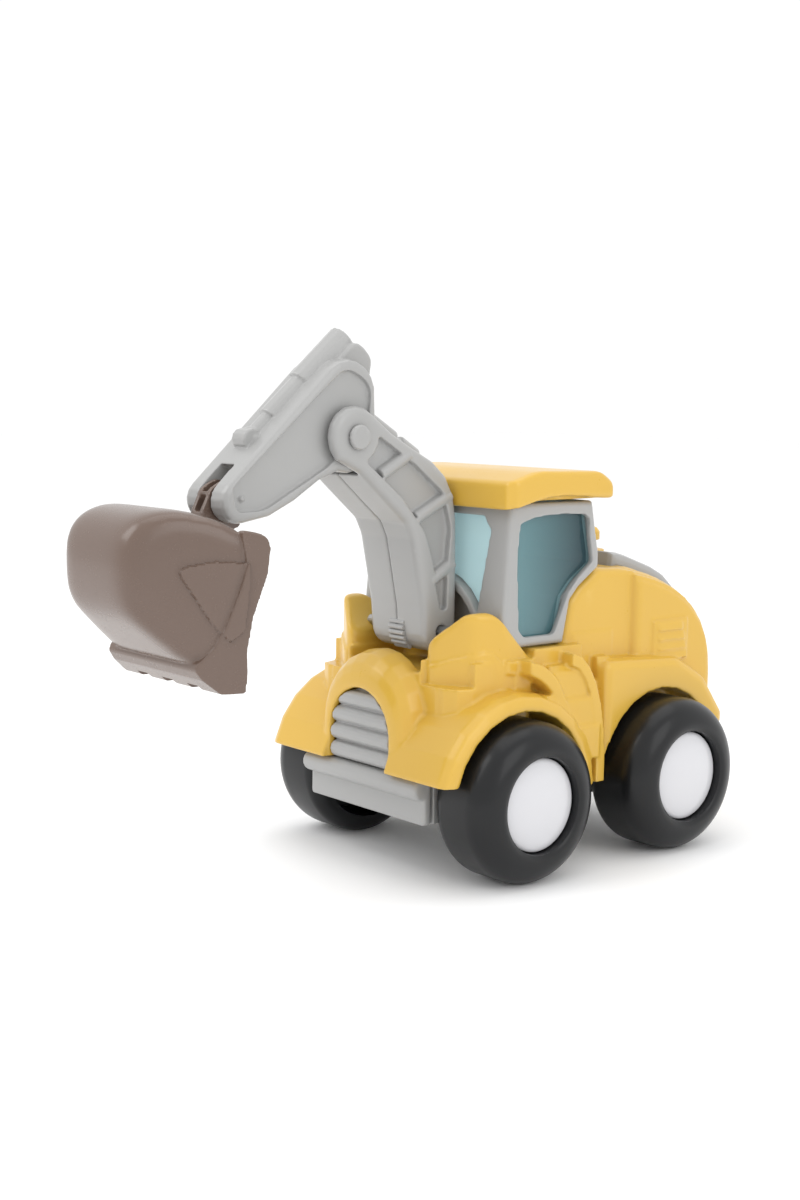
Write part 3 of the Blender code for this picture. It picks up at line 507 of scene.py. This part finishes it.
for hand, side in (("left", 1), ("right", -1)):
    half = copy_of(f"boom_{hand}_half", f"boom_{hand}")
    mould(half, [], grain=0.4, softness=1)
    soften(half, 14, lambda place: abs(place.x) > 9.6)
    carve(half, sheet_of(PANEL, side * 9.0, side * 14.0))
    details = [round_bar((side * 9.6, y0, z0), (side * 9.6, y1, z1), 1.65)
               for (y0, z0), (y1, z1) in BOOM_RIBS]
    mould(half, details, grain=0.27, softness=2, keep=0.35)
    dress(half, GREY, "boom", "light_grey_plastic", f"boom_{hand}_half")

# Ratchet teeth on the foot and the collared make-believe ram on the back.
for tooth in range(6):
    angle = math.radians(160 + 14.5 * tooth)
    y, z = BOOM_FOOT[0] + 5.5 * math.cos(angle), BOOM_FOOT[1] + 5.5 * math.sin(angle)
    rung = round_bar((-2.6, y, z), (3.0, y, z), 0.66, sides=20, cap=0.25)
    rung.name = "boom_ratchet"
    dress(rung, GREY, "boom", "light_grey_plastic")
ram = round_bar((0, -52.0, 112.1), (0, -31.6, 99.7), 2.2)
collars = [round_bar((0, y0, z0), (0, y1, z1), 3.1, cap=0.5)
           for y0, z0, y1, z1 in ((-53.0, 112.7, -41.8, 105.9), (-39.8, 104.7, -34.6, 101.5))]
mould(ram, collars, grain=0.25, softness=2, keep=0.4)
ram.name = "boom_ram"
dress(ram, GREY, "boom", "light_grey_plastic")

# ---------------------------------------------------------------------------
# Stick: forearm moulding with a make-believe hydraulic ram along its back.
# ---------------------------------------------------------------------------


def ball(place, radius):
    bpy.ops.object.select_all(action="DESELECT")
    bpy.ops.mesh.primitive_uv_sphere_add(segments=32, ring_count=16, radius=radius * MM,
                                         location=at(*place))
    bpy.ops.object.transform_apply(location=True, rotation=True, scale=True)
    return bpy.context.object


stick = copy_of("stick_housing", "stick_arm")
STICK_PANEL = rounded([(-92.6, 90.4, 2.6), (-84.6, 90.8, 9.0), (-66.6, 100.4, 14.0), (-54.6, 111.4, 5.0),
                       (-53.6, 119.8, 5.5), (-61.4, 123.8, 5.0), (-68.0, 118.4, 4.0),
                       (-93.4, 96.2, 2.0)])
for side in (-1, 1):
    carve(stick, sheet_of(STICK_PANEL, side * 6.8, side * 10.0))
dimples = [ball((side * 7.0, -90.6, 93.6), 0.75) for side in (-1, 1)]
stick_ram = [round_bar((0, -82.7, 106.4), (0, -74.4, 113.9), 2.2, cap=0.3),
             round_bar((0, -75.6, 112.5), (0, -66.6, 121.4), 2.9, cap=0.35),
             round_bar((0, -67.3, 120.2), (0, -57.2, 129.4), 3.45, cap=0.4),
             ball((0, -83.2, 107.0), 2.8)]
mould(stick, dimples + stick_ram, grain=0.28, softness=2, keep=0.4)
dress(stick, GREY, "stick", "light_grey_plastic", "stick_housing")
stick_pin = copy_of("stick_pin", "stick_pivot_pin")
mould(stick_pin, [], grain=0.2, softness=4, keep=0.5)
dress(stick_pin, GREY, "stick", "light_grey_plastic", "stick_pin")

# ---------------------------------------------------------------------------
# Bucket: one grey-brown moulding, flared to the mouth, with a toothed lip.
# ---------------------------------------------------------------------------
BROWN = moulded_plastic("satin_grey_brown", colour(106, 88, 78), colour(100, 82, 72),
                        colour(142, 123, 112), 0.26, scuff=0.12)
MOUTH_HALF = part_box("bucket")[1][0] / MM
BACK_HALF = 14.5


def flared(piece, spare=0.0):
    """Narrows a straight-sided solid from the mouth to the back of the scoop."""
    for vert in piece.data.vertices:
        back = (WHEELBASE_MIDDLE - vert.co.y) / MM
        depth = min(max((back - 95.0) / 27.0, 0.0), 1.0)
        vert.co.x *= (MOUTH_HALF + (BACK_HALF - MOUTH_HALF) * depth - spare) / MOUTH_HALF
    return piece


SCOOP = rounded([(-97.2, 87.4, 2.0), (-104.0, 90.4, 8.0), (-111.0, 92.6, 8.0), (-126.2, 92.0, 12.0),
                 (-124.8, 71.0, 9.0), (-108.4, 56.8, 2.0), (-104.0, 58.0, 1.0), (-100.2, 70.0, 0),
                 (-97.0, 80.0, 0)])
HOLLOW = rounded([(-80.0, 83.4, 0), (-96.0, 83.6, 2.0), (-103.0, 87.0, 6.0), (-111.0, 88.4, 6.0),
                  (-120.9, 85.6, 7.0), (-120.9, 73.6, 6.0), (-105.2, 60.4, 1.5), (-103.0, 56.0, 0),
                  (-80.0, 56.0, 0)])
BODY_HALF = MOUTH_HALF - 0.5
scoop = flared(sheet_of(SCOOP, -BODY_HALF, BODY_HALF))
mould(scoop, [], grain=0.95, softness=110)

# A raised flange runs round the mouth and under it as the lip; a raised wedge stands behind it.
FLANGE = rounded([(-100.4, 88.0, 1.0), (-99.2, 80.8, 0), (-100.8, 75.3, 0), (-103.7, 67.6, 0),
                  (-106.2, 62.4, 2.0), (-110.0, 58.6, 1.0), (-108.6, 55.4, 2.0), (-104.4, 52.1, 1.0),
                  (-99.4, 52.0, 2.6), (-98.9, 57.0, 0), (-99.2, 60.8, 3.0), (-97.8, 69.0, 4.0),
                  (-94.6, 78.4, 3.0), (-93.6, 86.6, 4.2)])
WEDGE = rounded([(-98.4, 80.6, 0), (-106.0, 81.2, 6.0), (-114.4, 79.8, 1.6), (-107.4, 68.8, 3.0),
                 (-103.0, 63.6, 0), (-100.0, 66.0, 0)])
LIP = rounded([(-109.6, 59.4, 0.8), (-110.3, 57.7, 1.0), (-108.6, 55.4, 2.0), (-104.6, 52.1, 1.0),
               (-99.4, 52.1, 0.8), (-99.3, 54.2, 0.8), (-104.0, 54.4, 0), (-106.6, 57.4, 0),
               (-106.8, 59.8, 0)])
parts = [flared(sheet_of(LIP, -MOUTH_HALF, MOUTH_HALF))]
for side in (-1, 1):
    parts.append(flared(sheet_of(FLANGE, *flank(side, MOUTH_HALF - 2.4, MOUTH_HALF), rounding=0.3)))
LUG = rounded([(-99.0, 87.0, 0), (-98.0, 90.6, 1.0), (-95.6, 95.8, 3.0), (-91.2, 98.2, 3.5),
               (-86.8, 95.0, 3.0), (-87.6, 87.0, 1.0), (-94.0, 84.6, 0)])
lug = sheet_of(LUG, -2.4, 2.4)
carve(lug, sheet_of([(-103.0, 90.6), (-96.0, 90.6), (-95.0, 92.4), (-97.4, 97.0)], -1.2, 1.2),
      sheet_of([(-97.2, 97.0), (-94.4, 93.4), (-92.2, 95.6), (-88.4, 96.6), (-88.0, 101.0),
                (-96.0, 101.0)], -1.2, 1.2))
parts.append(lug)
mould(scoop, parts, grain=0.3, softness=2)


def inside_outline(outline, u, v):
    """True where a place lies inside a closed outline."""
    crossings = 0
    for (u0, v0), (u1, v1) in zip(outline, outline[1:] + outline[:1]):
        if (v0 > v) != (v1 > v) and u < u0 + (v - v0) * (u1 - u0) / (v1 - v0):
            crossings += 1
    return crossings % 2 == 1


for vert in scoop.data.vertices:
    x, y, z = vert.co.x / MM, (vert.co.y - WHEELBASE_MIDDLE) / MM, vert.co.z / MM
    if abs(x) > 13.0 and y < -98.9 and inside_outline(WEDGE, y, z):
        vert.co.x += math.copysign(0.65 * MM, x)
hollow = flared(sheet_of(HOLLOW, -MOUTH_HALF, MOUTH_HALF), 2.2)
mould(hollow, [], grain=0.6, softness=14, keep=0.3)
slots = [bar((x - 2.2, x + 2.2), (-106.0, -90.0), (50.0, 53.4), 0.2) for x in (-10.5, 0.0, 10.5)]
carve(scoop, hollow, *slots, round_bar((-7, -91.2, 92.9), (7, -91.2, 92.9), 1.6))
only(scoop)
thinning = scoop.modifiers.new("Thin", "DECIMATE")
thinning.ratio = 0.4
bpy.ops.object.modifier_apply(modifier=thinning.name)
bpy.ops.object.shade_smooth_by_angle(angle=math.radians(50))
scoop.name = "bucket_scoop"
dress(scoop, BROWN, "bucket_body", "brown_plastic", "bucket")

# ---------------------------------------------------------------------------
# Wheels: fat hollow tyres in smooth black plastic with glossy white caps.
# ---------------------------------------------------------------------------
BLACK = moulded_plastic("smooth_black", colour(20, 21, 23), colour(16, 17, 19),
                        colour(48, 49, 52), 0.33, scuff=0.3, specular=0.3)
WHITE = moulded_plastic("gloss_white", colour(208, 208, 211), colour(204, 204, 208),
                        colour(220, 220, 222), 0.16, scuff=0.3)
STEEL = Finish("bright_steel")
steel_place = STEEL.add("ShaderNodeTexCoord", output=3)
steel_grain = STEEL.add("ShaderNodeTexNoise", {}, {"Vector": steel_place, "Scale": 900.0,
                                                   "Detail": 3.0})
steel_tone = STEEL.add("ShaderNodeMix", {"data_type": "RGBA"},
                       {0: steel_grain, 6: colour(186, 188, 190), 7: colour(150, 152, 156)},
                       output=2)
STEEL.set(Base_Color=steel_tone, Roughness=0.22 + steel_grain * 0.2, Metallic=1.0)


def lathe(name, profile, centre, steps=96):
    """Spins a drawn profile of (place across the truck, radius) points round an axle."""
    bpy.ops.object.select_all(action="DESELECT")
    bpy.ops.mesh.primitive_plane_add(size=1)
    piece = bpy.context.object
    piece.name = name
    bpy.ops.object.mode_set(mode="EDIT")
    bpy.ops.mesh.select_all(action="SELECT")
    bpy.ops.mesh.merge(type="CENTER")
    bpy.ops.object.mode_set(mode="OBJECT")
    points = [at(x, centre[0], centre[1] + r) for x, r in profile]
    piece.data.vertices[0].co = points[0]
    bpy.ops.object.mode_set(mode="EDIT")
    bpy.ops.mesh.select_all(action="SELECT")
    for before, after in zip(points, points[1:]):
        bpy.ops.mesh.extrude_region_move(TRANSFORM_OT_translate={"value": after - before})
    bpy.ops.mesh.select_all(action="SELECT")
    bpy.ops.mesh.spin(steps=steps, angle=math.tau, center=at(0, *centre), axis=(1, 0, 0))
    bpy.ops.object.mode_set(mode="OBJECT")
    finish_mesh(piece)
    bpy.ops.object.shade_smooth_by_angle(angle=math.radians(40))
    return piece


def curve(centre, radius, start, end, steps):
    """Profile points on an arc, from start to end degrees."""
    angles = [math.radians(start + (end - start) * i / steps) for i in range(steps + 1)]
    return [(centre[0] + radius * math.cos(a), centre[1] + radius * math.sin(a)) for a in angles]


for end, axle_box in (("front", front_axle_box), ("rear", rear_axle_box)):
    axle_y = ((axle_box[0][1] + axle_box[1][1]) / 2 - WHEELBASE_MIDDLE) / MM
    axle_z = (axle_box[0][2] + axle_box[1][2]) / 2 / MM
    for hand, side in (("left", 1), ("right", -1)):
        tyre_low, tyre_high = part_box(f"{end}_{hand}_tyre")
        inner = min(abs(tyre_low[0]), abs(tyre_high[0])) / MM
        outer = max(abs(tyre_low[0]), abs(tyre_high[0])) / MM
        radius = (tyre_high[2] - tyre_low[2]) / 2 / MM
        profile = [(0.0, 6.5), (0.0, 8.5), (9.0, 8.5), (9.0, 14.5), (0.0, 15.5)]
        profile += curve((3.6, radius - 3.6), 3.6, 180, 90, 10)
        profile += curve((outer - inner - 6.8, radius - 6.8), 6.8, 90, 0, 16)
        profile += [(outer - inner - 0.15, 12.6), (outer - inner - 0.5, 12.0),
                    (outer - inner - 1.2, 11.8), (14.2, 11.8), (14.2, 3.3), (1.0, 3.3), (0.0, 6.5)]
        tyre = lathe(f"{end}_{hand}_tyre_moulding", [(side * (inner + a), r) for a, r in profile],
                     (axle_y, axle_z))
        dress(tyre, BLACK, f"{end}_wheels", "black_tyre", f"{end}_{hand}_tyre")
        dome = [(24.5, 0.0), (24.5, 3.0), (38.2, 3.0), (38.2, 11.3), (39.5, 11.5), (40.0, 11.45),
                (40.25, 11.2), (40.45, 10.6), (40.75, 9.2), (41.05, 7.2), (41.25, 5.0),
                (41.36, 2.5), (41.4, 0.0)]
        cap = lathe(f"{end}_{hand}_hub_dome", [(side * a, r) for a, r in dome],
                    (axle_y, axle_z))
        dress(cap, WHITE, f"{end}_wheels", "white_hub", f"{end}_{hand}_hub_cap")
for node in ("front_axle", "rear_axle", "boom_base_pin", "bucket_pin", "chassis_screw_1",
             "chassis_screw_2", "chassis_screw_3", "chassis_screw_4"):
    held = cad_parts[node]
    held.data.materials.clear()
    held.data.materials.append(STEEL.material)

# ---------------------------------------------------------------------------
# Studio: a seamless pale floor, a broad soft light above and to the left, a
# weaker one on the right, and the camera at the toy's front left.
# ---------------------------------------------------------------------------
bpy.ops.object.select_all(action="DESELECT")
bpy.ops.mesh.primitive_plane_add(size=8.0, location=(0, 0, 0))
floor = bpy.context.object
floor.name = "studio_floor"
paper = Finish("pale_paper")
paper_place = paper.add("ShaderNodeTexCoord", output=3)
paper_cloud = paper.add("ShaderNodeTexNoise", {}, {"Vector": paper_place, "Scale": 3.0})
paper_tone = paper.add("ShaderNodeMix", {"data_type": "RGBA"},
                       {0: paper_cloud, 6: colour(252, 252, 252), 7: colour(250, 250, 250)},
                       output=2)
paper.set(Base_Color=paper_tone, Roughness=0.9)
floor.data.materials.append(paper.material)

scene = bpy.context.scene
scene.view_settings.view_transform = "Standard"
world = bpy.data.worlds.new("studio_air")
world.use_nodes = True
world.node_tree.nodes["Background"].inputs[0].default_value = (1.0, 1.0, 1.0, 1.0)
world.node_tree.nodes["Background"].inputs[1].default_value = 1.04
scene.world = world


def softbox(name, place, target, size, power):
    bpy.ops.object.light_add(type="AREA", location=place)
    lamp = bpy.context.object
    lamp.name = name
    lamp.data.shape = "RECTANGLE"
    lamp.data.size, lamp.data.size_y = size
    lamp.data.energy = power
    lamp.rotation_euler = (Vector(target) - Vector(place)).to_track_quat("-Z", "Y").to_euler()
    return lamp


softbox("key_softbox", (-0.35, -0.75, 0.85), (0, 0, 0.05), (0.7, 0.7), 4.0)
softbox("fill_softbox", (0.9, 0.1, 0.55), (0, 0, 0.06), (0.6, 0.6), 1.6)
softbox("top_softbox", (0.0, 0.15, 1.1), (0, 0, 0), (0.9, 0.9), 2.2)

lens = bpy.data.cameras.new("product_camera")
lens.sensor_width = 36.0
lens.lens = 49.93
camera = bpy.data.objects.new("product_camera", lens)
scene.collection.objects.link(camera)
camera.location = at(317.24, -304.75, 116.84)
backwards = Vector((0.7591, -0.6396, 0.1209)).normalized()
level = Vector((0, 0, 1)).cross(backwards).normalized()
upright = backwards.cross(level)
tilt = math.radians(0.815)
right = level * math.cos(tilt) + upright * math.sin(tilt)
up = upright * math.cos(tilt) - level * math.sin(tilt)
camera.rotation_euler = Matrix((right, up, backwards)).transposed().to_euler()
scene.camera = camera
